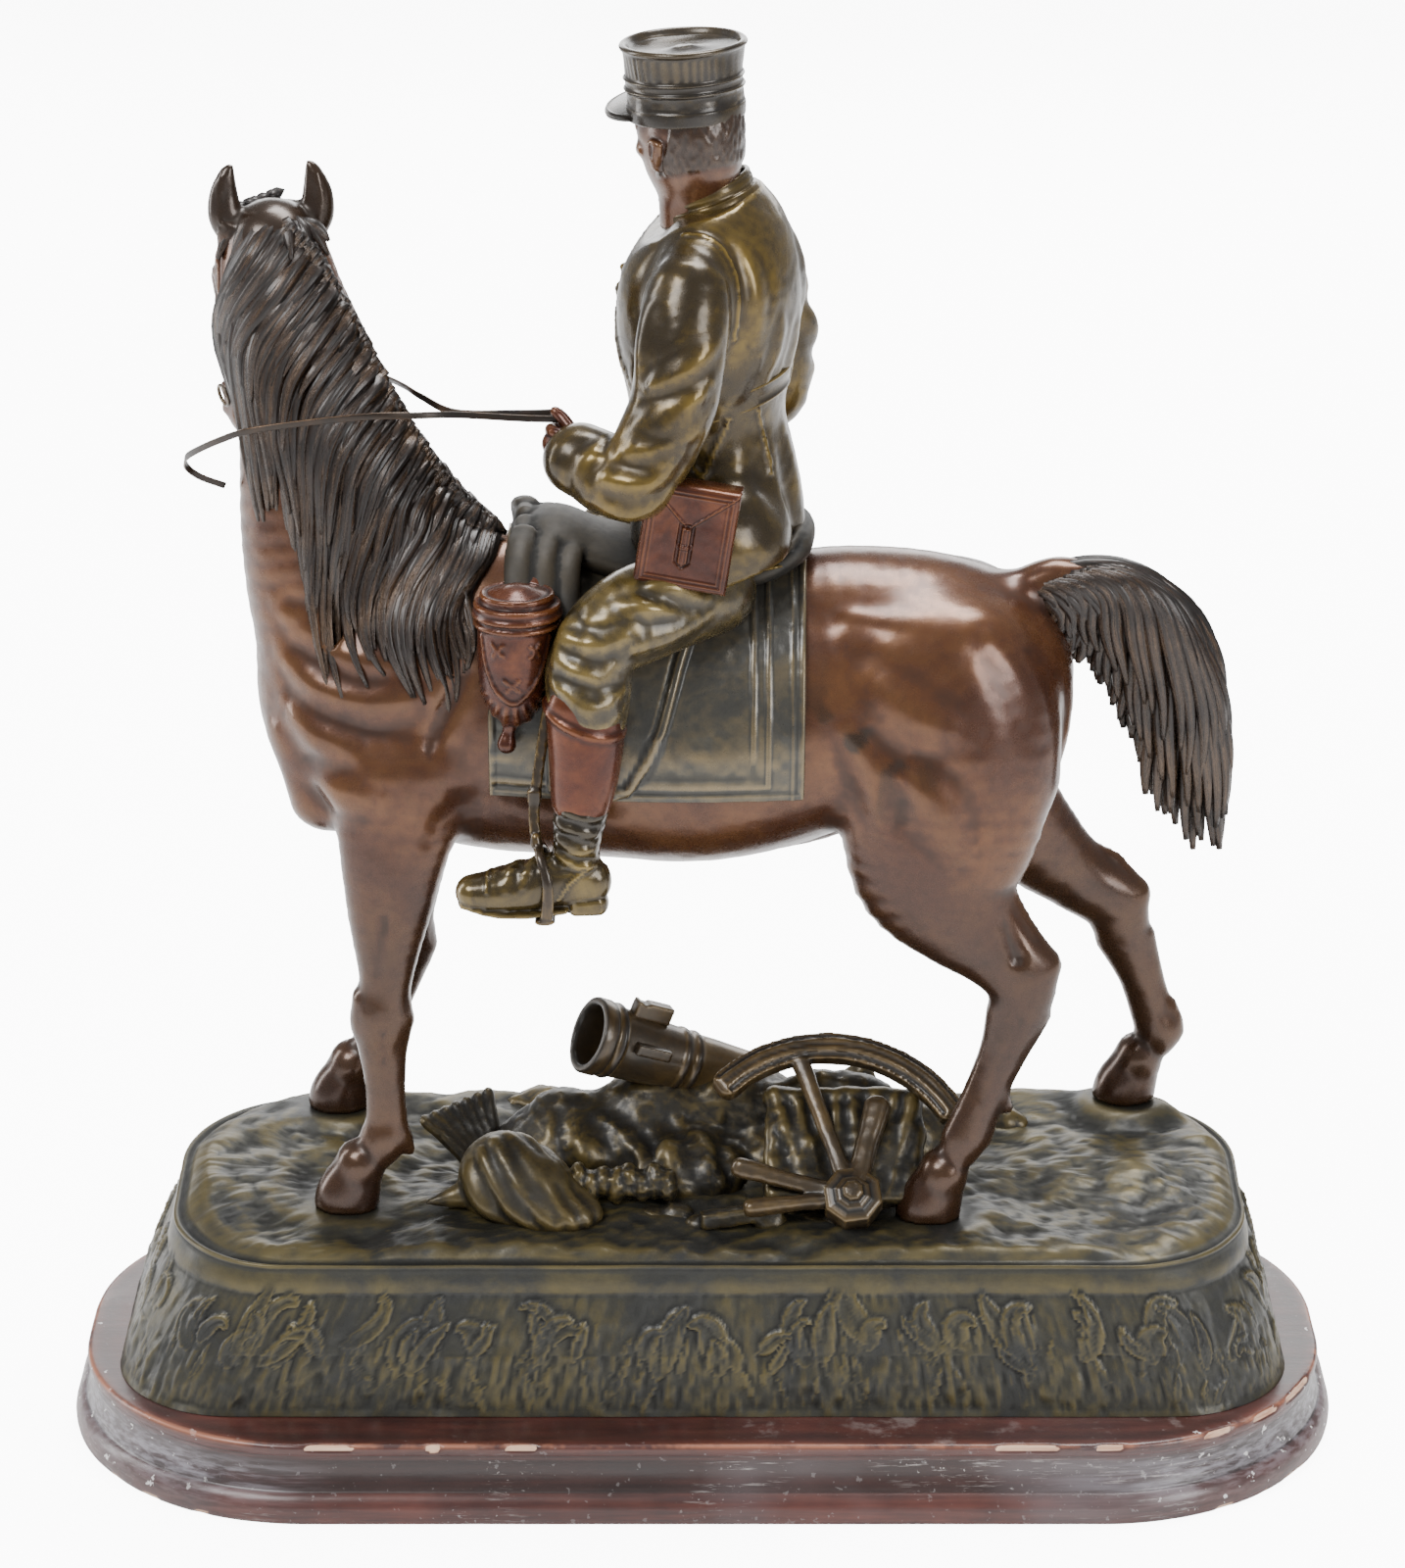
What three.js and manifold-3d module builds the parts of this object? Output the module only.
// An equestrian statuette: a soldier of the old army on a standing horse, cast over a ground strewn
// with captured arms, on a moulded wooden plinth. Millimetres, +Z up, the horse faces -X and its near
// (left) side faces -Y. The origin is the centre of the plinth's underside.
import * as THREE from 'three';
import { mergeVertices } from 'three/addons/utils/BufferGeometryUtils.js';
import Module from 'manifold-3d';

const wasm = await Module();
wasm.setup();

// Driving sizes, in millimetres.
const FIT_GAP = 0.3;            // left between pieces that touch
const PLINTH_LENGTH = 532;
const PLINTH_DEPTH = 232;
const PLINTH_HEIGHT = 34;
const PLINTH_RIM_THICKNESS = 7;
const PLINTH_COVE_DEPTH = 11;   // how far the hollow moulding goes in under the rim
const PLINTH_FOOT_HEIGHT = 13;
const TERRACE_LENGTH = 488;
const TERRACE_DEPTH = 172;
const TERRACE_HEIGHT = 62;      // from the plinth's top to the front rim of the ground
const TERRACE_SLOPE = 17;       // how far the wall leans in from foot to rim
const TERRACE_CORNER = 52;      // radius of the four corners at the foot
const RIM_CORNER = 54;
const GROUND_CORNER = 40;       // well inside the rim
const END_LEAN = 1.35;          // the walls at the two ends lean in this much more
const LEFT_LEAN = 0.45;         // and the left end this much more again
const GROUND_RISE = 12;         // how much higher the ground is at the back rim
const HORSE_HEIGHT = 280;       // withers above the ground
const HORSE_SETBACK = 8;        // the horse's middle plane behind the plinth's
const REIN_WIDTH = 2.8;
const REIN_THICKNESS = 0.9;

// The figure's places are in hundredths of the horse's height, from the ground under its middle.
const UNIT = HORSE_HEIGHT / 100;
const TERRACE_FOOT = PLINTH_HEIGHT + FIT_GAP;
const GROUND = TERRACE_FOOT + TERRACE_HEIGHT + 8;   // level under the horse
const NEAR = 1;
const FAR = -1;

const vec = (p) => new THREE.Vector3(p[0], p[1], p[2]);

// A closed manifold from any three.js geometry.
function solid(geometry) {
  const bare = geometry.clone();
  bare.deleteAttribute('normal');
  bare.deleteAttribute('uv');
  const merged = mergeVertices(bare, 1e-4);
  const source = merged.index.array;
  const kept = [];
  for (let i = 0; i < source.length; i += 3) {
    const [a, b, c] = [source[i], source[i + 1], source[i + 2]];
    if (a !== b && b !== c && c !== a) {
      kept.push(a, b, c);
    }
  }
  const triVerts = new Uint32Array(kept);
  const vertProperties = new Float32Array(merged.attributes.position.array);
  return new wasm.Manifold(new wasm.Mesh({ numProp: 3, vertProperties, triVerts }));
}

const join = (parts) => parts.reduce((whole, part) => whole.add(part));

// Rows of numbers with more rows between them, along a smooth run through the given ones.
function flow(rows, steps) {
  if (steps < 2 || rows.length < 3) {
    return rows;
  }
  const last = rows.length - 1;
  const before = rows[0].map((v, k) => 2 * v - rows[1][k]);
  const after = rows[last].map((v, k) => 2 * v - rows[last - 1][k]);
  const run = [before, ...rows, after];
  const out = [];
  for (let i = 1; i < run.length - 2; i += 1) {
    for (let s = 0; s < steps; s += 1) {
      const t = s / steps;
      const [a, b, c, d] = [run[i - 1], run[i], run[i + 1], run[i + 2]];
      out.push(b.map((v, k) => 0.5 * (2 * v + (c[k] - a[k]) * t
        + (2 * a[k] - 5 * v + 4 * c[k] - d[k]) * t ** 2
        + (3 * v - a[k] - 3 * c[k] + d[k]) * t ** 3)));
    }
  }
  out.push(rows[last]);
  return out;
}

// A closed mesh over rings of points, with a point at each end.
function ringMesh(start, rings, end) {
  const sides = rings[0].length;
  const points = [start, ...rings.flat(), end];
  const index = [];
  const at = (i, j) => 1 + i * sides + (j % sides);
  for (let j = 0; j < sides; j += 1) {
    index.push(0, at(0, j + 1), at(0, j));
    for (let i = 0; i + 1 < rings.length; i += 1) {
      index.push(at(i, j), at(i, j + 1), at(i + 1, j + 1));
      index.push(at(i, j), at(i + 1, j + 1), at(i + 1, j));
    }
    index.push(points.length - 1, at(rings.length - 1, j), at(rings.length - 1, j + 1));
  }
  const geometry = new THREE.BufferGeometry();
  geometry.setAttribute('position', new THREE.Float32BufferAttribute(points.flat(), 3));
  geometry.setIndex(index);
  return geometry;
}

// A limb through rows [x, y, z, half-width along side, half-depth across it], with rounded ends.
// egg narrows the section towards its depth side, as a barrel narrows towards the back.
function limb(rows, { side = [0, 1, 0], sides = 8, steps = 1, egg = 0, turn = 0 } = {}) {
  const run = flow(rows, steps);
  const centres = run.map(vec);
  const frames = centres.map((p, i) => {
    const ahead = centres[Math.min(i + 1, centres.length - 1)];
    const behind = centres[Math.max(i - 1, 0)];
    const t = ahead.clone().sub(behind).normalize();
    const s = vec(side).addScaledVector(t, -vec(side).dot(t)).normalize();
    return { t, s, n: t.clone().cross(s) };
  });
  const ring = (i, shift, scale) => {
    const { t, s, n } = frames[i];
    const out = [];
    for (let j = 0; j < sides; j += 1) {
      const angle = turn + (2 * Math.PI * j) / sides;
      const depth = Math.sin(angle);
      const p = centres[i].clone().addScaledVector(t, shift);
      p.addScaledVector(s, scale * run[i][3] * Math.cos(angle) * (1 - egg * depth));
      p.addScaledVector(n, scale * run[i][4] * depth);
      out.push(p.toArray());
    }
    return out;
  };
  const reach = (i) => Math.min(run[i][3], run[i][4]);
  const last = run.length - 1;
  const rings = run.map((row, i) => ring(i, 0, 1));
  rings.unshift(ring(0, -0.65 * reach(0), 0.76));
  rings.push(ring(last, 0.65 * reach(last), 0.76));
  const start = centres[0].clone().addScaledVector(frames[0].t, -reach(0));
  const end = centres[last].clone().addScaledVector(frames[last].t, reach(last));
  return solid(ringMesh(start.toArray(), rings, end.toArray()));
}

// A box with its own middle, sizes and turn (Euler angles in degrees).
function block(middle, size, turn = [0, 0, 0]) {
  const g = new THREE.BoxGeometry(...size);
  const angles = turn.map(THREE.MathUtils.degToRad);
  g.applyMatrix4(new THREE.Matrix4().makeRotationFromEuler(new THREE.Euler(...angles)));
  g.translate(...middle);
  return solid(g);
}

// Horse units to millimetres.
const place = ([x, y, z, ...rest]) => [
  x * UNIT, HORSE_SETBACK + y * UNIT, GROUND + z * UNIT, ...rest.map((v) => v * UNIT),
];
const figureLimb = (rows, options) => limb(rows.map(place), options);
const mirrored = (rows) => rows.map(([x, y, ...rest]) => [x, -y, ...rest]);

// Horse: trunk, neck and the muscles that show under the skin.
const TRUNK = [
  [-54, 0, 74, 10, 13], [-48, 0, 75, 13.5, 19], [-40, 0, 76, 15, 22], [-28, 0, 76, 16.5, 24],
  [-14, 0, 74, 18.5, 22.6], [0, 0, 73, 19, 22.2], [12, 0, 75.3, 18.5, 21.3], [22, 0, 78, 18, 19.5],
  [32, 0, 79, 17.5, 17.5], [39, 0, 78.8, 14.5, 15.2], [43.5, 0, 77.4, 10, 11.4],
];
const NECK = [
  [-43, 0, 78, 13, 19], [-48, 0, 90, 11.5, 17], [-51.5, 0, 103, 9.5, 14.5],
  [-54.2, 0.5, 117, 8, 11.5], [-58, 2, 130, 7.2, 9.5], [-60.3, 3.5, 138, 6.5, 8],
  [-61, 4, 142, 5.5, 6],
];
const MUSCLES = [
  [[-37, -9.5, 87, 3, 6], [-44, -10.4, 81, 4.2, 9], [-51, -9.4, 72.5, 4.6, 8.6], [-47, -11, 63, 5.4, 8.2]],
  [[-54.8, -5.5, 72, 5.4, 7.8], [-53.8, -6, 62, 5.4, 6.2]],
  [[31, -8.4, 83, 7, 6.6], [37, -9.4, 81, 7.4, 8], [43, -8.6, 74, 6.8, 8.6], [43, -8.8, 66, 6.4, 8]],
];

// The legs, each from inside the trunk down to the coronet, then its hoof.
const FORE_NEAR = [
  [-43, -11, 68, 6.5, 11], [-44.6, -12.5, 56, 5.4, 8], [-45.5, -13, 46, 4.6, 6],
  [-46.2, -13.5, 36, 3.6, 3.9], [-46.9, -13.8, 30, 3.9, 4.2], [-46.9, -13.9, 25, 3, 3.2],
  [-46.6, -14, 15, 2.4, 2.6], [-47, -14, 10.6, 3.1, 3.4],
  [-49, -14, 7.4, 2.8, 2.6], [-50.8, -14, 5.6, 3.3, 3.1],
];
const FORE_FAR = [
  [-42, 11, 68, 6.5, 11], [-43.5, 12.5, 56, 5.4, 7.8], [-43.9, 13.5, 46, 4.6, 6],
  [-44.3, 14.3, 36, 3.6, 3.9], [-44.9, 15, 30, 3.8, 4.1], [-45.9, 15.3, 25, 3, 3.2],
  [-48.4, 15.5, 17, 2.4, 2.6], [-49.8, 15.5, 13.6, 3.1, 3.4],
  [-52, 15.5, 10.4, 2.8, 2.6], [-53.8, 15.5, 8.6, 3.3, 3.1],
];
const HIND_NEAR = [
  [34, -8, 84, 9, 13.5], [35, -10.5, 73, 9.5, 15.6], [34.5, -12, 62, 8.8, 15],
  [34, -13, 53, 7, 12.5], [37.5, -13.8, 46.5, 5.2, 8.8], [42.3, -14.3, 41.5, 4, 6.3],
  [46.2, -14.8, 37, 3.7, 5.4], [46, -15, 31.5, 3.2, 4.3], [43.8, -15.3, 25, 2.6, 3.2],
  [41, -15.6, 18, 2.6, 2.9], [38.8, -15.8, 12, 3.1, 3.4], [36.8, -16, 8.4, 2.8, 2.7],
  [35.2, -16, 6, 3.5, 3.2],
];
const HIND_FAR = [
  [34, 8, 84, 9, 13.5], [36, 11, 72, 9, 15], [38.5, 12.5, 62, 8, 12.5], [43.5, 13.8, 54, 6.5, 9.5],
  [50, 14.8, 46.5, 5, 7.4], [56.4, 15.5, 40.6, 4, 5.6], [62, 16, 36.2, 3.6, 5],
  [64, 16.2, 30.5, 3.1, 4.1], [66.6, 16.4, 24, 2.6, 3.1], [68.6, 16.6, 18, 2.6, 3],
  [69.8, 16.8, 14.4, 3.1, 3.4], [67.8, 17, 11.2, 2.8, 2.7], [66.2, 17, 9.4, 3.3, 3.2],
];
// Each hoof by its toe's middle on the ground: x, y, z.
const HOOVES = [[-52.6, -14, 0], [-55.6, 15.5, 2.8], [33.4, -16, -0.6], [64.8, 17, 3.4]];
const HOOF_HEIGHT = 6.4;
const HOCKS = [
  [[44.6, -14.6, 41.8, 1.6, 1.8], [50.2, -14.6, 38.8, 1.8, 2]],
  [[60.2, 16, 40.6, 1.6, 1.8], [65.8, 16, 37.6, 1.8, 2]],
];

function hoof([x, y, z]) {
  const rows = [
    [x + 1.7, y, z + HOOF_HEIGHT, 3.3, 3.5], [x + 0.2, y, z + 1.4, 4.1, 4.7], [x, y, z - 1, 4.1, 4.8],
  ];
  const under = place([x, y, z]);
  const floor = block([under[0], under[1], under[2] - 20], [60, 60, 40]);
  return figureLimb(rows, { sides: 7 }).subtract(floor);
}

// The head is turned to the far side and hangs from the poll; its stations are distance down from
// the poll, distance forward, sideways, half-width and half-depth.
const POLL = vec([-60.8, 4, 142]);
const HEAD_DOWN = vec([-5.5, 23, -31]).normalize();
const faceWay = vec([-0.5, 0.86, 0]);
const HEAD_FORWARD = faceWay.addScaledVector(HEAD_DOWN, -faceWay.dot(HEAD_DOWN)).normalize();
const HEAD_SIDE = HEAD_DOWN.clone().cross(HEAD_FORWARD);
const HEAD = [
  [0, -1, 0, 6, 6], [7, -1.5, 0, 7.4, 8.6], [14, -2.5, 0, 7.1, 9.6], [21, -2, 0, 5.8, 8],
  [28, -0.5, 0, 4.8, 6], [34, -0.3, 0, 4.4, 5], [38.5, -0.6, 0, 4.6, 4.6], [40.5, -0.8, 0, 3.6, 3.6],
];
const onHead = (down, forward, side) => POLL.clone().addScaledVector(HEAD_DOWN, down)
  .addScaledVector(HEAD_FORWARD, forward).addScaledVector(HEAD_SIDE, side).toArray();
const headLimb = (rows, options) => figureLimb(
  rows.map(([down, forward, side, a, b]) => [...onHead(down, forward, side), a, b]),
  { side: HEAD_SIDE.toArray(), ...options },
);

function ear(way) {
  const root = [POLL.x + way * 5.2, POLL.y + way * 1.2, POLL.z + 0.5];
  const rows = [
    [0, 0, 0, 2.1, 2], [way * 1.5, 0, 3, 2.6, 2.1], [way * 1.6, 0, 6.2, 2.2, 1.7],
    [way * 0.9, -0.2, 9, 1.2, 0.9],
  ].map(([x, y, z, a, b]) => [root[0] + x, root[1] + y, root[2] + z, a, b]);
  return figureLimb(rows, { side: [1, 0, 0], sides: 5 });
}

function horseHead() {
  const parts = [headLimb(HEAD, { sides: 8 })];
  for (const s of [NEAR, FAR]) {
    parts.push(headLimb([[9, -5, s * 3.8, 3.4, 5.3], [15, -6, s * 3.6, 3.2, 5.8]], { sides: 6 }));
    parts.push(headLimb([[9.6, 2.6, s * 5.6, 1.5, 1.5], [13.4, 2.4, s * 5.7, 1.5, 1.5]], { sides: 4 }));
    parts.push(ear(-s));
  }
  return join(parts);
}

// The mane falls from the crest over the near side of the neck.
const CREST = [
  [-61, 1.5, 146], [-57.5, 1, 142.5], [-54, 0.5, 138], [-50.8, 0, 132.5], [-48, 0, 126],
  [-45.6, 0, 119.5], [-43, 0, 113], [-39.5, 0, 107], [-35, 0, 102.5], [-30, 0, 99.5],
];
// How far out (-y) the near side of the neck lies at a height and a place along the horse.
function neckSide(x, z) {
  const rows = flow(NECK, 4);
  let best = rows[0];
  for (const row of rows) {
    if (Math.abs(row[2] - z) < Math.abs(best[2] - z)) {
      best = row;
    }
  }
  const off = Math.min(Math.abs(x - best[0]) / (best[4] * 1.06), 1);
  return best[1] - best[3] * Math.sqrt(1 - off * off);
}

// A closed solid between an outer and an inner grid of points, [column][row].
function slab(outer, inner) {
  const columns = outer.length;
  const rows = outer[0].length;
  const points = [...outer.flat(), ...inner.flat()];
  const index = [];
  const at = (face, i, j) => face * columns * rows + i * rows + j;
  const quad = (a, b, c, d) => index.push(a, b, c, a, c, d);
  for (let i = 0; i + 1 < columns; i += 1) {
    for (let j = 0; j + 1 < rows; j += 1) {
      quad(at(0, i, j), at(0, i, j + 1), at(0, i + 1, j + 1), at(0, i + 1, j));
      quad(at(1, i, j), at(1, i + 1, j), at(1, i + 1, j + 1), at(1, i, j + 1));
    }
    quad(at(0, i, 0), at(0, i + 1, 0), at(1, i + 1, 0), at(1, i, 0));
    quad(at(0, i, rows - 1), at(1, i, rows - 1), at(1, i + 1, rows - 1), at(0, i + 1, rows - 1));
  }
  for (let j = 0; j + 1 < rows; j += 1) {
    quad(at(0, 0, j), at(1, 0, j), at(1, 0, j + 1), at(0, 0, j + 1));
    const last = columns - 1;
    quad(at(0, last, j), at(0, last, j + 1), at(1, last, j + 1), at(1, last, j));
  }
  const geometry = new THREE.BufferGeometry();
  geometry.setAttribute('position', new THREE.Float32BufferAttribute(points.flat(), 3));
  geometry.setIndex(index);
  return solid(geometry);
}

const MANE_LOCKS = 8;
const MANE_ROWS = 5;
// A place in the mane: share along the crest, share down the lock, and how far it stands out.
function maneAt(share, fall, out, length) {
  const crest = flow(CREST, 4);
  const spot = share * (crest.length - 1);
  const i = Math.min(Math.floor(spot), crest.length - 2);
  const [x, y, z] = crest[i].map((v, k) => v + (crest[i + 1][k] - v) * (spot - i));
  const sweep = 1.5 + 7.5 * Math.sin(Math.PI * share ** 0.8);
  const px = x - sweep * fall ** 0.8 + 0.8 * Math.sin(5 * fall + 9 * share);
  const pz = z - length * fall ** 1.15;
  const over = Math.min(1, fall * 3);
  return place([px, y * (1 - over) + neckSide(px, pz) * over - out, pz]);
}

function mane() {
  const outer = [];
  const inner = [];
  for (let c = 0; c <= 2 * MANE_LOCKS; c += 1) {
    const share = c / (2 * MANE_LOCKS);
    const ridge = c % 2;
    const length = (39 - 18 * share) * (ridge ? 1 : 0.82);
    const column = [];
    const under = [];
    for (let r = 0; r < MANE_ROWS; r += 1) {
      const fall = r / (MANE_ROWS - 1);
      const stand = (ridge ? 2.3 : 0.9) * Math.min(1, fall * 3 + 0.3) * (1 - 0.55 * fall);
      column.push(maneAt(share, fall, stand, length));
      under.push(maneAt(share, fall, -2.2, length));
    }
    outer.push(column);
    inner.push(under);
  }
  return slab(outer, inner);
}

// The tail: a dock that lifts and curls over, then locks that fall between an outer and an inner run.
const DOCK = [
  [42, 0, 88, 4, 4], [47, 0, 91.5, 3.4, 3.4], [53, 0, 93.4, 3.2, 3.4], [59, 0, 92.8, 3.4, 3.8],
];
const TAIL_OUTER = [
  [48, 93.6], [57, 95.6], [63, 95], [68.5, 91.4], [72, 85.5], [74.2, 78.5], [76, 70], [76.6, 61], [75, 53],
];
const TAIL_INNER = [
  [47, 89.6], [50, 87.8], [52.4, 84.8], [55, 80.6], [57.4, 75.6], [60.8, 71], [63.6, 65.6], [66.6, 60], [73.4, 52],
];
const TAIL_LOCKS = 5;
const TAIL_ROWS = 6;

function tail() {
  const faces = [[], []];
  const outer = flow(TAIL_OUTER, 4);
  const inner = flow(TAIL_INNER, 4);
  for (let c = 0; c <= 2 * TAIL_LOCKS; c += 1) {
    const share = c / (2 * TAIL_LOCKS);
    const ridge = c % 2;
    const end = (outer.length - 1) * (0.8 + 0.2 * share ** 0.7) * (ridge ? 1 : 0.94);
    const column = [[], []];
    for (let r = 0; r < TAIL_ROWS; r += 1) {
      const t = r / (TAIL_ROWS - 1);
      const spot = Math.min(Math.round(t * end), outer.length - 1);
      const x = inner[spot][0] + (outer[spot][0] - inner[spot][0]) * share;
      const z = inner[spot][1] + (outer[spot][1] - inner[spot][1]) * share;
      const full = Math.sin(Math.PI * (0.14 + 0.72 * share)) * Math.sin(Math.PI * (0.25 + 0.68 * t));
      const half = 0.35 + (ridge ? 5.4 : 4.2) * full;
      column[0].push(place([x, -half, z]));
      column[1].push(place([x, half, z]));
    }
    faces[0].push(column[0]);
    faces[1].push(column[1]);
  }
  return slab(faces[0], faces[1]);
}

function horse() {
  const parts = [
    figureLimb(TRUNK, { sides: 12, egg: 0.16 }),
    figureLimb(NECK, { sides: 8, egg: -0.15 }),
    horseHead(),
    figureLimb(DOCK, { sides: 6 }),
  ];
  for (const muscle of MUSCLES) {
    parts.push(figureLimb(muscle, { sides: 5 }), figureLimb(mirrored(muscle), { sides: 5 }));
  }
  for (const leg of [FORE_NEAR, FORE_FAR, HIND_NEAR, HIND_FAR]) {
    parts.push(figureLimb(leg, { sides: 6, turn: Math.PI / 6 }));
  }
  for (const hock of HOCKS) {
    parts.push(figureLimb(hock, { sides: 4 }));
  }
  for (const toe of HOOVES) {
    parts.push(hoof(toe));
  }
  parts.push(mane(), tail());
  return join(parts);
}

// The rider sits upright, turned a little to the far side, with the head turned further.
const heading = (degrees) => {
  const angle = THREE.MathUtils.degToRad(degrees);
  return {
    ahead: [-Math.cos(angle), Math.sin(angle), 0],
    across: [Math.sin(angle), Math.cos(angle), 0],
  };
};
const BODY_WAY = heading(22);
const HEAD_WAY = heading(45);
const COAT = [
  [2.5, 0, 96, 12.7, 12.2], [2.1, 0, 104, 12.9, 12.1], [1, -0.4, 118.2, 11.4, 10.7],
  [0.9, -0.4, 118.8, 12, 11.3], [0.8, -0.4, 121.6, 12, 11.3], [0.8, -0.5, 122.2, 11.5, 10.8],
  [0.7, -0.8, 129, 13.8, 12.2], [1.2, -1.1, 137.1, 14.8, 12.4],
  [1.4, -1.1, 141.4, 13.8, 11], [1.2, -1.1, 145, 10.6, 8.8], [0.6, -0.9, 148.2, 6.6, 6.2],
];
const NEAR_SLEEVE = [
  [-0.7, -13.2, 142, 3.9, 3.9], [-2.1, -16, 138.9, 5.7, 6.1], [-2.9, -18, 133.6, 6.1, 6.6],
  [-3.9, -19.3, 125.4, 5.9, 6.2], [-6.8, -20, 118.6, 5.7, 5.9], [-9.6, -20.4, 114.3, 5.4, 5.4],
];
const NEAR_CUFF = [
  [-9.6, -20.4, 113.9, 5.4, 5.4], [-12.9, -18.6, 113.9, 5.2, 5.5], [-15.6, -16.3, 115, 4.8, 5.2],
  [-17.6, -14.6, 115.8, 5, 5.4],
];
const FAR_SLEEVE = [
  [2.9, 9.3, 142, 3.9, 3.9], [6.1, 12.9, 138.9, 5.4, 5.7], [9.8, 16.6, 130, 5.4, 5.6],
  [11.2, 17.5, 120.7, 5, 5], [7.1, 18.6, 117.5, 4.6, 4.6],
  [1.4, 18.6, 114, 4.3, 4.3], [-3.6, 17.5, 109.4, 4.2, 4.4],
];
const THIGH = [
  [1.4, -12.6, 96.4, 7.1, 7.2], [-7.9, -18.2, 94.3, 6.8, 7.1], [-13.6, -20.7, 91.4, 6.2, 6.4],
  [-16.1, -22.1, 87.4, 5.7, 6.1], [-16.3, -23.2, 83, 5.6, 6],
];
const BOOT = [
  [-16.4, -23.6, 81.6, 5.1, 5.6], [-16.1, -24.3, 73, 4.6, 5], [-16.6, -24.6, 65, 3, 3.2],
  [-17.6, -24.6, 56.4, 2.9, 3.2],
];
const SHOE = [
  [-15.8, -24.6, 54.6, 2.5, 2.6], [-20.6, -24.9, 55.4, 2.7, 2.6], [-26.6, -25.4, 55.8, 2.7, 2.2],
  [-31.6, -25.9, 55.2, 2.3, 1.6], [-34.4, -26.1, 54.6, 1.5, 1.1],
];
// Deep folds in the cloth, as rows [x, y, z, half-width, half-depth].
const FOLDS = [
  [[-20.6, -22.6, 92.4, 0.7, 1.3], [-16.4, -28, 90.6, 1, 1.5], [-11, -26.6, 91.6, 0.6, 1.1]],
  [[-20.8, -24, 87.4, 0.7, 1.2], [-16.6, -28.6, 85.4, 1, 1.4], [-12, -26, 85.6, 0.6, 1]],
  [[-12.6, -26, 97, 0.7, 1.1], [-6.6, -25.2, 94, 1, 1.4], [-1, -21.6, 92.4, 0.6, 1]],
  [[-0.4, -23.6, 128, 0.6, 1], [-4.4, -25.6, 122.6, 1, 1.3], [-9.4, -25.6, 119.6, 0.6, 1]],
  [[2, -23.4, 134, 0.6, 0.9], [-2.4, -24.8, 129.4, 0.9, 1.2], [-8, -22.6, 127, 0.6, 0.9]],
  [[5, -10.6, 116, 0.6, 0.8], [6.4, -12.4, 108, 0.9, 1.1], [7.4, -13, 100, 1, 1.2]],
];

function coat() {
  const across = BODY_WAY.across;
  const collar = [[0.2, -0.7, 147.4, 6.4, 6.4], [-0.8, -0.4, 151, 5.5, 5.5]];
  return join([
    figureLimb(COAT, { side: across, sides: 10 }),
    figureLimb(collar, { side: across, sides: 8 }),
    figureLimb(NEAR_SLEEVE, { side: across, sides: 6 }),
    figureLimb(NEAR_CUFF, { side: [0, 0, 1], sides: 6 }),
    figureLimb(FAR_SLEEVE, { side: across, sides: 6 }),
    ...FOLDS.map((rows) => figureLimb(rows, { sides: 3, turn: Math.PI / 2 })),
  ]);
}

function leg(way) {
  const own = (rows) => (way === NEAR ? rows : mirrored(rows));
  return join([
    figureLimb(own(THIGH), { sides: 6 }), figureLimb(own(BOOT), { sides: 6 }),
    figureLimb(own(SHOE), { sides: 5 }),
  ]);
}

// A turned form: a profile of [radius, height] pairs from axis to axis, set on a point along an axis.
function turned(profile, middle, axis, sides = 14) {
  const g = new THREE.LatheGeometry(profile.map(([r, h]) => new THREE.Vector2(r, h)), sides);
  const turn = new THREE.Quaternion().setFromUnitVectors(vec([0, 1, 0]), vec(axis).normalize());
  g.applyQuaternion(turn);
  g.translate(...middle);
  return solid(g);
}

// The head: a plain, calm soldier's face under a soft-sided cap with a short peak.
const HEAD_MIDDLE = [-2, -1.1, 157.6];
const onFace = ([ahead, across, up, ...rest]) => [
  HEAD_MIDDLE[0] + HEAD_WAY.ahead[0] * ahead + HEAD_WAY.across[0] * across,
  HEAD_MIDDLE[1] + HEAD_WAY.ahead[1] * ahead + HEAD_WAY.across[1] * across,
  HEAD_MIDDLE[2] + up, ...rest,
];
const faceLimb = (rows, sides = 8) => figureLimb(rows.map(onFace), { side: HEAD_WAY.across, sides });

function face() {
  const parts = [
    faceLimb([[-1, 0, -11, 4.7, 4.9], [-0.6, 0, -4, 5, 5.4]], 6),
    faceLimb([[-1.4, 0, -2, 6.4, 7], [-0.8, 0, 2, 7, 7.6], [-0.6, 0, 5, 6.4, 7]], 8),
    faceLimb([[2.6, 0, -6.6, 3.2, 3.2], [1.8, 0, -3.4, 4.6, 5.2], [1.4, 0, 0.4, 5.7, 6.4]], 7),
    faceLimb([[7.4, 0, 0.8, 0.7, 0.9], [8.6, 0, -2, 1, 1.3]], 4),
  ];
  for (const s of [NEAR, FAR]) {
    parts.push(faceLimb([[-0.2, s * 7, -2.6, 0.7, 1], [-0.6, s * 7.4, 0.6, 0.8, 1.5]], 4));
  }
  return join(parts);
}

const CAP_PROFILE = [
  [0, -0.6], [8.3, -0.6], [8.1, 3], [8.5, 3.3], [8.5, 5], [8.2, 5.3], [8.7, 9], [8.1, 9.7],
  [7.4, 8.6], [0, 8.4],
];

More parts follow.
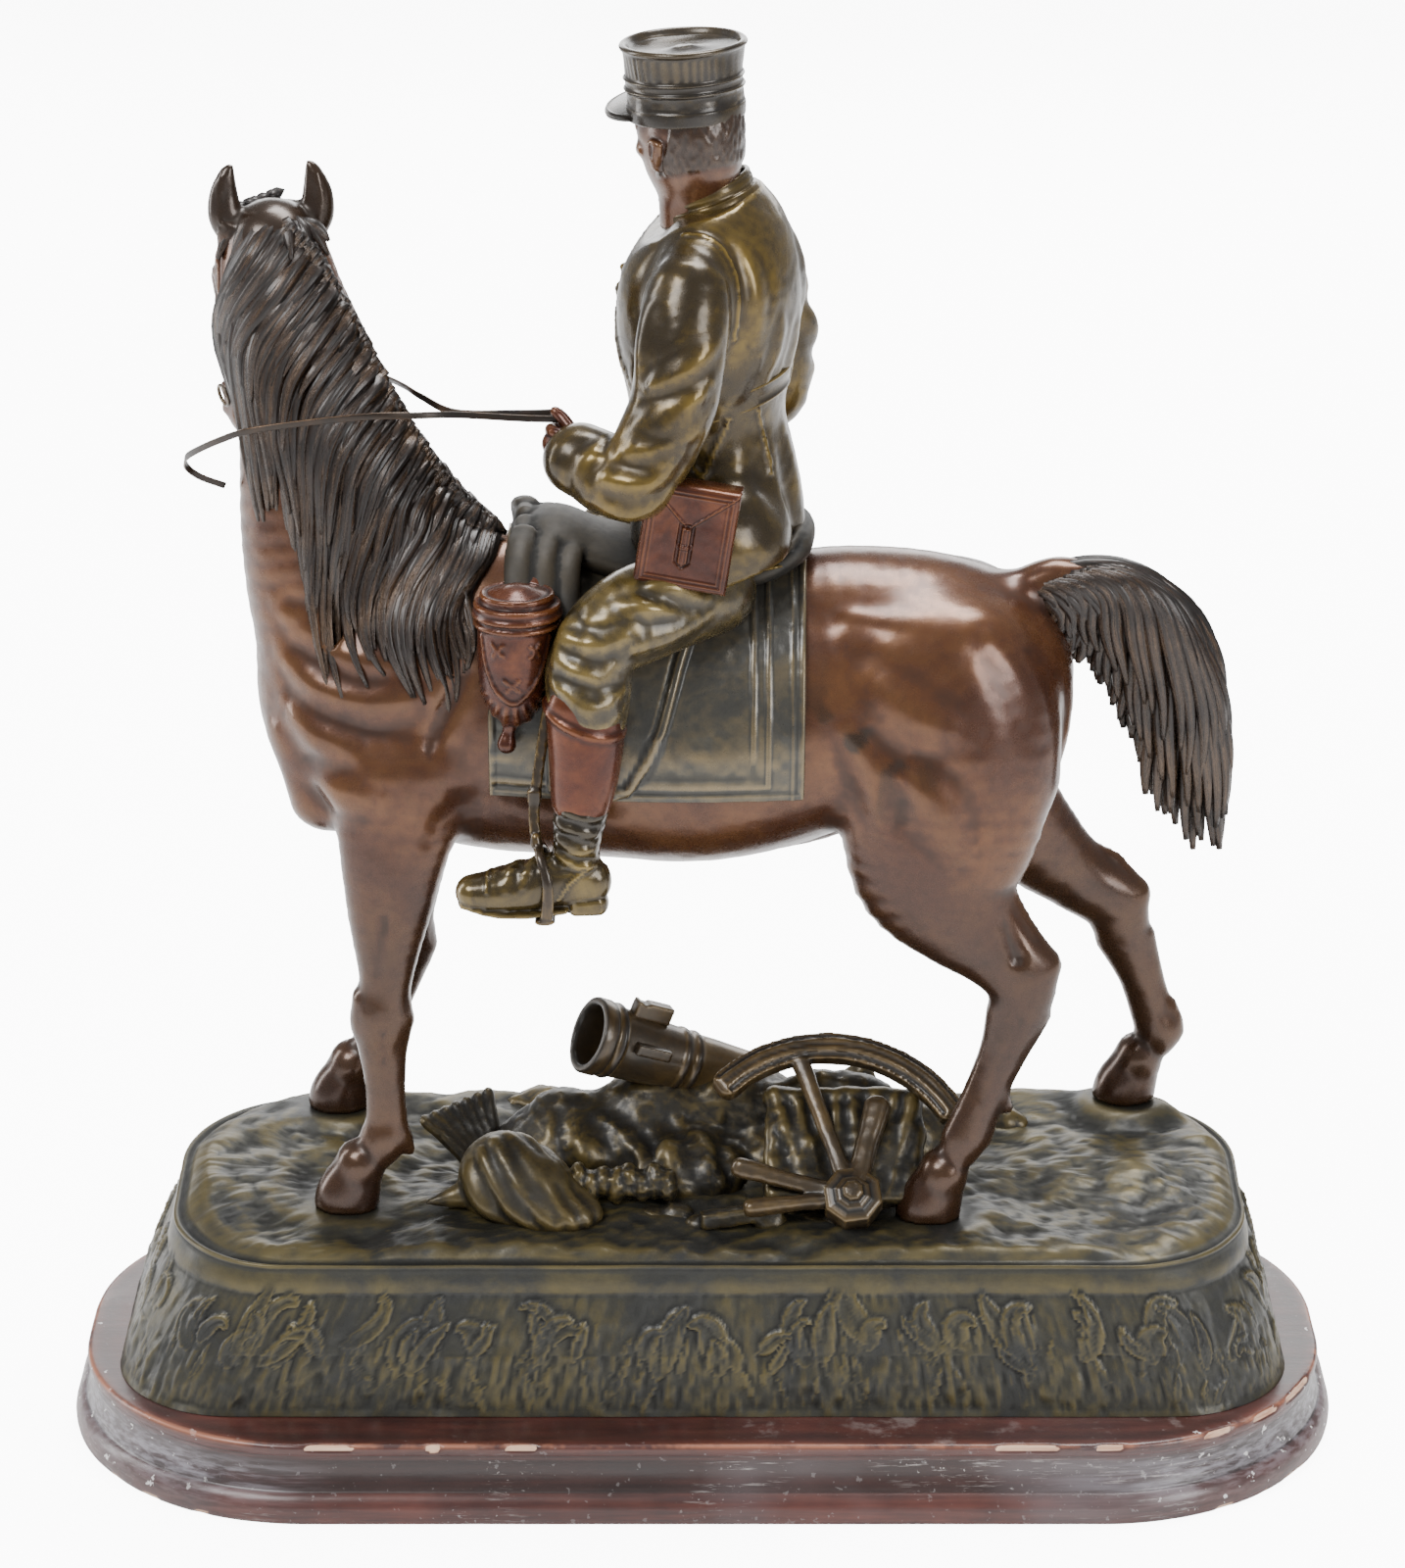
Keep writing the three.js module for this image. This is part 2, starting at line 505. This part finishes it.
function cap() {
  const foot = place([-2.3, -1.1, 162.1]);
  const lean = [-0.05, 0, 1];
  const profile = CAP_PROFILE.map(([r, h]) => [r * UNIT, h * UNIT]);
  const crown = turned(profile, foot, lean, 12);
  const peak = new THREE.Shape();
  const steps = 6;
  for (let i = 0; i <= steps; i += 1) {
    const angle = ((i / steps) * 2 - 1) * THREE.MathUtils.degToRad(66);
    const reach = (8 + 4.6 * Math.cos(angle * 1.3) ** 0.8) * UNIT;
    peak[i ? 'lineTo' : 'moveTo'](reach * Math.cos(angle), reach * Math.sin(angle));
  }
  peak.lineTo(2 * UNIT, 6 * UNIT);
  peak.lineTo(2 * UNIT, -6 * UNIT);
  const plate = new THREE.ExtrudeGeometry(peak, { depth: 0.55 * UNIT, bevelEnabled: false });
  plate.rotateY(THREE.MathUtils.degToRad(14));
  plate.rotateZ(THREE.MathUtils.degToRad(180 - 45));
  plate.translate(foot[0], foot[1], foot[2] + 1.6 * UNIT);
  return crown.add(solid(plate));
}

// A flat outline [x, z] in figure units, as a prism across the horse from y0 to y1.
function prism(outline, y0, y1) {
  const shape = new THREE.Shape(outline.map(([x, z]) => new THREE.Vector2(x * UNIT, z * UNIT)));
  const g = new THREE.ExtrudeGeometry(shape, { depth: (y1 - y0) * UNIT, bevelEnabled: false });
  g.rotateX(Math.PI / 2);
  g.translate(0, HORSE_SETBACK + y1 * UNIT, GROUND);
  return solid(g);
}

const CLOTH_THICKNESS = 0.9;
const FLAP_THICKNESS = 1.7;
const CLOTH = [
  [-30.6, 66.7], [-30.6, 78], [-29, 88], [-27, 112], [15.5, 112], [14.8, 90], [14.6, 66.6],
  [0, 66.2], [-14, 66.4],
];
const FLAP = [
  [-22, 112], [-22, 68], [-14, 66.8], [-10.4, 67.6], [-7.6, 71.6], [-5.1, 76.5], [-2.8, 84],
  [0, 91.4], [4, 96], [4, 112],
];
const SEAT = [
  [-25, 0, 101, 8, 3.4], [-21, 0, 102.4, 8, 3.6], [-15, 0, 99, 9, 3.4], [-4, 0, 96, 10, 3.2],
  [7, 0, 97, 10.6, 3.4], [13, 0, 100.6, 10, 3.6], [15, 0, 102.6, 8.6, 2.6],
];

function saddle() {
  const over = (thickness) => TRUNK.map(([x, y, z, a, b]) => [x, y, z, a + thickness, b + thickness]);
  const dressed = (outline, thickness) => figureLimb(over(thickness), { sides: 12, egg: 0.16 })
    .intersect(prism(outline, -30, 30));
  return join([
    dressed(CLOTH, CLOTH_THICKNESS), dressed(FLAP, FLAP_THICKNESS), figureLimb(SEAT, { sides: 7 }),
  ]);
}

// A pistol holster on each side of the saddle's front, with a ringed lid, a knob at the toe, and the
// strap that hangs it.
const HOLSTER = [
  [-25.5, -18.6, 97, 5.2, 5.2], [-25.5, -18.6, 96.2, 5.8, 5.8], [-25.5, -18.7, 93.6, 5.9, 5.9],
  [-25.6, -19, 93, 5.2, 5.2], [-26, -19.6, 88, 5.4, 5.2], [-27, -20, 80.4, 4.4, 3.6],
  [-27.8, -20.2, 78.2, 1.4, 1.4], [-28.4, -20.4, 75, 1.4, 1.4],
];
const HOLSTER_STRAP = [[-23, -9, 101, 2.4, 4], [-24.6, -16, 97.4, 2.4, 4]];
const FAR_HOLSTER_SHIFT = [3.6, -3.6, -1.5];   // the far one hangs further back and closer in
function holster(way) {
  const shifted = ([x, y, z, ...rest]) => [...[x, y, z].map((v, k) => v + FAR_HOLSTER_SHIFT[k]), ...rest];
  const own = (rows) => (way === NEAR ? rows : mirrored(rows).map(shifted));
  return join([
    figureLimb(own(HOLSTER), { sides: 7 }),
    figureLimb(own(HOLSTER_STRAP), { side: [0, 0, 1], sides: 4 }),
  ]);
}

function stirrup(way) {
  const own = (rows) => (way === NEAR ? rows : mirrored(rows));
  return join([
    figureLimb(own([[-21, -20, 84, 1.2, 1.2], [-23.6, -22.6, 70, 1.1, 0.9], [-22.6, -24.4, 61, 1.1, 0.9]]),
      { side: [1, 0, 0], sides: 4 }),
    figureLimb(own([[-22.6, -21.4, 52.6, 1.1, 0.7], [-22.2, -21.6, 58, 0.8, 0.7],
      [-22.4, -24.8, 61.2, 0.9, 0.7], [-22.2, -28, 58, 0.8, 0.7], [-22.6, -28, 52.6, 1.1, 0.7]]),
    { side: [1, 0, 0], sides: 4 }),
  ]);
}

function satchel() {
  const middle = place([-2, -20, 106.3]);
  const bag = block(middle, [13 * UNIT, 3 * UNIT, 15 * UNIT], [0, 10, -4]);
  const tab = place([-1.7, -21.8, 107]);
  return bag.add(block(tab, [1.6 * UNIT, 0.8 * UNIT, 6 * UNIT], [0, 10, -4]));
}

const rider = () => join([
  coat(), leg(NEAR), leg(FAR), face(), cap(), saddle(), holster(NEAR), holster(FAR), stirrup(NEAR),
  stirrup(FAR), satchel(),
]);

// A rounded rectangle about the origin with corners of two radii, counter-clockwise from above.
function outline(length, depth, cornerX, cornerY, cornerSteps, sideSteps) {
  const points = [];
  const corners = [[1, -1, -90], [1, 1, 0], [-1, 1, 90], [-1, -1, 180]];
  corners.forEach(([sx, sy, from], c) => {
    const cx = sx * (length / 2 - cornerX);
    const cy = sy * (depth / 2 - cornerY);
    for (let i = 0; i <= cornerSteps; i += 1) {
      const angle = THREE.MathUtils.degToRad(from + (90 * i) / cornerSteps);
      points.push([cx + cornerX * Math.cos(angle), cy + cornerY * Math.sin(angle)]);
    }
    const extra = c % 2 ? sideSteps : 0;
    const [x] = points[points.length - 1];
    const y = points[points.length - 1][1];
    for (let i = 1; i <= extra; i += 1) {
      points.push([x - (2 * x * i) / (extra + 1), y]);
    }
  });
  return points;
}

// The plinth's moulding: how far in from the foot's edge, and the height.
const PLINTH_CORNER = 104;
function plinth() {
  const h = PLINTH_HEIGHT;
  const foot = PLINTH_FOOT_HEIGHT;
  const rim = PLINTH_RIM_THICKNESS;
  const cove = PLINTH_COVE_DEPTH;
  const moulding = [
    [2.2, 0], [0, foot * 0.3], [0, foot * 0.65], [4.4, foot], [cove - 1.8, foot + 3.8], [cove, foot + 8],
    [6.2, h - rim], [6, h - 1.4], [8.4, h],
  ];
  const rings = moulding.map(([inset, z]) => outline(
    PLINTH_LENGTH - 2 * inset, PLINTH_DEPTH - 2 * inset, PLINTH_CORNER - inset, PLINTH_CORNER - inset, 5, 0,
  ).map(([x, y]) => [x, y, z]));
  return solid(ringMesh([0, 0, 0], rings, [0, 0, h]));
}

// The ground's height at a place, before the rim rounds it off.
const FRONT_RIM = TERRACE_FOOT + TERRACE_HEIGHT;
function groundAt(x, y) {
  const across = y / TERRACE_DEPTH + 0.5;
  const swell = 2.6 * Math.sin(x * 0.031 + 1) * Math.cos(y * 0.05) + 1.4 * Math.sin(x * 0.083 + y * 0.06);
  return FRONT_RIM + 3 + (GROUND_RISE + 1) * across + 0.5 * swell;
}

function ground() {
  const size = (inset) => [TERRACE_LENGTH - 2 * inset * END_LEAN, TERRACE_DEPTH - 2 * inset];
  const ringAt = (inset, corner, height) => {
    const [length, depth] = size(inset);
    const narrowed = (x) => (x < 0 ? x * (1 - (2 * LEFT_LEAN * inset) / length) : x);
    return outline(length, depth, corner, Math.min(corner, depth / 2 - 4), 4, 3)
      .map(([x, y]) => [narrowed(x), y, height(x, y)]);
  };
  const rim = (x, y) => FRONT_RIM + (GROUND_RISE - 2) * Math.max(0, y / TERRACE_DEPTH + 0.5) ** 1.5;
  const up = (share) => (x, y) => TERRACE_FOOT + (rim(x, y) - TERRACE_FOOT) * share;
  const rings = [
    ringAt(0.8, TERRACE_CORNER, up(0)), ringAt(0, TERRACE_CORNER, up(0.05)),
    ringAt(TERRACE_SLOPE * 0.66, RIM_CORNER, up(0.78)), ringAt(TERRACE_SLOPE * 0.6, RIM_CORNER, up(0.82)),
    ringAt(TERRACE_SLOPE * 0.74, RIM_CORNER, up(0.95)), ringAt(TERRACE_SLOPE * 0.92, RIM_CORNER, up(1)),
    ringAt(TERRACE_SLOPE * 1.3, TERRACE_CORNER, (x, y) => (rim(x, y) * 2 + groundAt(x, y)) / 3),
    ringAt(TERRACE_SLOPE * 2.6, GROUND_CORNER, groundAt),
  ];
  return solid(ringMesh([0, 0, TERRACE_FOOT], rings, [0, 0, groundAt(0, 0)]));
}

// Under each hoof the ground is flat, a fit gap below it.
function hoofSeat([x, y, z]) {
  const [px, py, pz] = place([x, y, z]);
  const reach = 5.9 * UNIT;
  const seat = new THREE.CylinderGeometry(reach, reach * 1.35, 14, 7).rotateX(Math.PI / 2);
  seat.translate(px, py, pz - FIT_GAP - 7);
  const room = new THREE.CylinderGeometry(reach, reach, 30, 7).rotateX(Math.PI / 2);
  room.translate(px, py, pz - FIT_GAP + 15);
  return { seat: solid(seat), room: solid(room) };
}

// Captured arms and baggage, cast with the ground.
function lump(middle, size, detail = 8) {
  const g = new THREE.SphereGeometry(1, detail, Math.round(detail * 0.7));
  g.rotateX(Math.PI / 2);
  g.scale(...size);
  g.translate(...middle);
  return solid(g);
}

const CANNON_MUZZLE = [-48, 10, 163];
const CANNON_WAY = vec([-0.857, -0.315, 0.408]).normalize();
const BORE_RADIUS = 12.4;
const BORE_DEPTH = 24;

function cannon() {
  const along = (back, r = 0) => vec(CANNON_MUZZLE).addScaledVector(CANNON_WAY, -back)
    .addScaledVector(vec([0.36, 0.1, 0.93]), r).toArray();
  const barrel = turned([
    [0, -86], [11, -86], [12, -50], [13.4, -49], [13.4, -42], [15, -10], [16.2, -9], [16.4, 0], [0, 0],
  ], CANNON_MUZZLE, CANNON_WAY.toArray(), 12);
  const bore = turned([[0, -BORE_DEPTH], [BORE_RADIUS - 1, -BORE_DEPTH], [BORE_RADIUS, 5], [0, 5]],
    CANNON_MUZZLE, CANNON_WAY.toArray(), 12);
  const sight = block(along(24, 16.4), [17, 7, 8], [0, 24, 20]);
  const lug = block(along(24, 8).map((v, i) => v + [0, -13.6, 0][i]), [15, 5, 5], [0, 24, 20]);
  return join([barrel, sight, lug]).subtract(bore);
}

const HUB = [61.6, -47, 115];
const WHEEL_TILT = 47;   // how far the wheel leans back from upright
const RIM_SHIFT = [-10, 6];   // the broken rim lies off the hub's middle
function wheel() {
  const lean = new THREE.Matrix4().makeRotationX(THREE.MathUtils.degToRad(90 - WHEEL_TILT));
  const onWheel = (x, y, z = 0) => vec([x, y, z]).applyMatrix4(lean).add(vec(HUB)).toArray();
  const rim = new THREE.Shape();
  const [from, to] = [32, 146].map(THREE.MathUtils.degToRad);
  rim.absarc(0, 0, 66, from, to, false);
  rim.absarc(0, 0, 55, to, from, true);
  const felloe = new THREE.ExtrudeGeometry(rim, { depth: 9, bevelEnabled: false, curveSegments: 10 });
  felloe.translate(...RIM_SHIFT, -4.5);
  felloe.applyMatrix4(lean);
  felloe.translate(...HUB);
  const axis = vec([0, 0, 1]).applyMatrix4(new THREE.Matrix4().extractRotation(lean)).toArray();
  const hub = turned([[0, -8], [10.6, -8], [10.6, 4], [8, 6], [4.6, 6.4], [4.2, 9], [0, 9]],
    HUB, axis, 8);
  const onRim = (degrees) => {
    const angle = THREE.MathUtils.degToRad(degrees);
    return [RIM_SHIFT[0] + 60 * Math.cos(angle), RIM_SHIFT[1] + 60 * Math.sin(angle)];
  };
  const spokes = [onRim(52), onRim(80), onRim(108), [-46, 10]].map(([x, y]) => {
    const start = onWheel(x * 0.16, y * 0.16);
    const end = onWheel(x, y);
    return limb([[...start, 3, 3], [...end, 3.4, 3]], { side: [1, 0, 0.3], sides: 4 });
  });
  return join([solid(felloe), hub, ...spokes]);
}

function spoils() {
  const fold = (rows, sides = 4) => limb(rows, { sides });
  return join([
    lump([-38, 12, 110], [58, 28, 24], 7), lump([48, 12, 110], [50, 28, 21], 7),
    cannon(), wheel(),
    lump([-82, -30, 116], [20, 19, 22], 7),
    fold([[-98, -33, 110, 4.6, 4.6], [-114, -36, 107.6, 0.8, 0.8]], 6),
    fold([[-84, -30, 134, 4, 5], [-72, -46, 118, 4, 5], [-58, -54, 108, 3, 4]]),
    fold([[-76, -24, 134, 4, 5], [-62, -40, 118, 4, 5], [-48, -54, 107, 3, 3]]),
    fold([[-70, -14, 130, 4, 5], [-56, -32, 116, 4, 5], [-46, -44, 108, 3, 3]]),
    ...[0, 1, 2].map((i) => fold([
      [-96 + 3 * i, 4 + 6 * i, 104, 4, 3], [-118 + 13 * i, 12 + 9 * i, 122 + 3 * i, 6, 4],
    ])),
    fold([[-57, -30, 112, 7, 6], [-36, -30, 114, 8, 7], [-14, -30, 112, 6, 6]], 6),
    block([16, -46, 106], [34, 7, 7], [0, -4, 24]),
    ...[0, 1].map((i) => lump([-18 + 24 * i, -36 + 4 * i, 105], [11, 7, 6], 5)),
    ...[0, 1].map((i) => lump([-66 + 110 * i, 58 - 4 * i, 110], [30, 10, 7], 5)),
    ...[0, 1, 2].map((i) => fold([[18 + 16 * i, -8, 122, 3.4, 3], [26 + 13 * i, -42, 105, 3.6, 3]])),
  ]);
}

function terrace() {
  const seats = HOOVES.map(hoofSeat);
  const whole = join([ground(), spoils(), ...seats.map(({ seat }) => seat)]);
  return seats.reduce((body, { room }) => body.subtract(room), whole);
}

// The reins: flat strips of metal from the hand to the bridle, crossing before the hand.
const REIN_NEAR = [
  [-19.4, -12.4, 120.6], [-25.6, -11.8, 120.6], [-34.5, -11.8, 121.1], [-39.9, -13.2, 121.4],
  [-46, -14.6, 121.7], [-54.2, -14.6, 120.9], [-63.2, -13.9, 119.4], [-67.6, -11.4, 117.3],
  [-71.5, -7.1, 114.4], [-73.4, -3.6, 112.2], [-73.5, -1.1, 110.1], [-71.8, 0.4, 108.2], [-68.4, 1, 106.7],
];
const REIN_FAR = [
  [-19.6, -10.2, 121], [-25.7, -9.3, 120.6], [-34.7, -8.9, 120.6], [-39.7, -4.3, 121.5],
  [-42.6, 1, 121.6], [-46, 7.4, 121], [-50, 12.6, 119.8], [-54.6, 17.4, 118], [-57.6, 20.6, 116.6],
];

function rein(points) {
  const path = new THREE.CatmullRomCurve3(points.map((p) => vec(place(p))));
  const section = new THREE.Shape();
  section.moveTo(-REIN_THICKNESS / 2, -REIN_WIDTH / 2);
  section.lineTo(REIN_THICKNESS / 2, -REIN_WIDTH / 2);
  section.lineTo(REIN_THICKNESS / 2, REIN_WIDTH / 2);
  section.lineTo(-REIN_THICKNESS / 2, REIN_WIDTH / 2);
  section.closePath();
  return solid(new THREE.ExtrudeGeometry(section, { steps: 16, extrudePath: path }));
}

// The casting's outer skin alone: hollows sealed in between locks or muscles are solid metal.
function outerSkin({ vertProperties, triVerts }) {
  const parent = Array.from({ length: vertProperties.length / 3 }, (_, i) => i);
  const root = (start) => {
    let i = start;
    while (parent[i] !== i) {
      parent[i] = parent[parent[i]];
      i = parent[i];
    }
    return i;
  };
  for (let i = 0; i < triVerts.length; i += 3) {
    parent[root(triVerts[i])] = root(triVerts[i + 1]);
    parent[root(triVerts[i + 1])] = root(triVerts[i + 2]);
  }
  const counts = new Map();
  for (const vertex of triVerts) {
    counts.set(root(vertex), (counts.get(root(vertex)) ?? 0) + 1);
  }
  const skin = [...counts].sort((a, b) => b[1] - a[1])[0][0];
  const kept = [];
  for (let i = 0; i < triVerts.length; i += 3) {
    if (root(triVerts[i]) === skin) {
      kept.push(triVerts[i], triVerts[i + 1], triVerts[i + 2]);
    }
  }
  return kept;
}

function named(name, body, colour, roughness, metalness) {
  const mesh = body.getMesh();
  const geometry = new THREE.BufferGeometry();
  geometry.setAttribute('position', new THREE.BufferAttribute(new Float32Array(mesh.vertProperties), 3));
  geometry.setIndex(outerSkin(mesh));
  const material = new THREE.MeshStandardMaterial({ color: colour, roughness, metalness });
  const out = new THREE.Mesh(geometry, material);
  out.name = name;
  return out;
}

const METAL = 0.85;
const statuette = new THREE.Group();
const group = horse().add(rider());
statuette.add(named('plinth', plinth(), 0x4a1c18, 0.5, 0));
statuette.add(named('terrace', terrace(), 0x35341f, 0.5, METAL));
statuette.add(named('horse_and_rider', group, 0x6b4630, 0.35, METAL));
statuette.add(named('rein_near', rein(REIN_NEAR), 0x2e2a22, 0.5, METAL));
statuette.add(named('rein_far', rein(REIN_FAR), 0x2e2a22, 0.5, METAL));

export default statuette;
